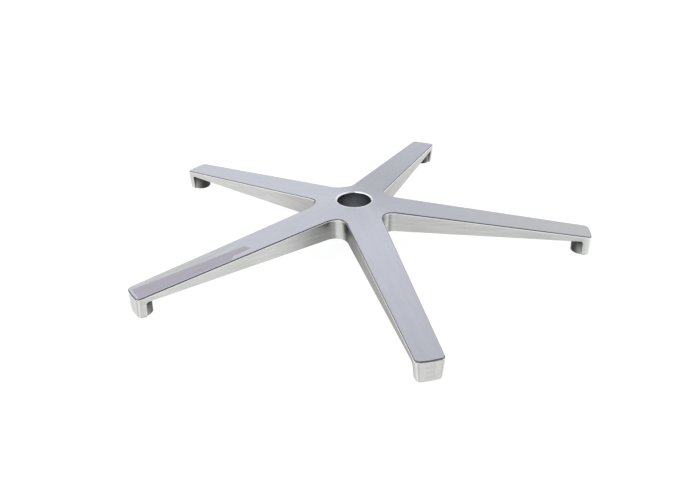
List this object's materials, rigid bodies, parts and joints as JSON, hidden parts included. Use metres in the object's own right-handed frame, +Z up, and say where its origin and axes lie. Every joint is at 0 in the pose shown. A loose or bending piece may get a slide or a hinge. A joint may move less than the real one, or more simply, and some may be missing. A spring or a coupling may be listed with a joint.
{
  "type": "office chair five star base",
  "caption": "Cast star base for a swivel chair: sloping arms with caster sockets under their tips and a tapered central socket for a gas lift.",
  "frame": {"origin": "centre of the gas lift socket's mouth, at the top face of the hub", "axes": "+Z up along the socket's axis, the first arm lies along +X, the others follow every 72 degrees"},
  "size_m": [0.6406, 0.672, 0.076],
  "materials": {
    "casting": "polished and finely brushed outside, as cast underneath"
  },
  "bodies": {
    "root": {"star_base": "casting"}
  },
  "joints": []
}
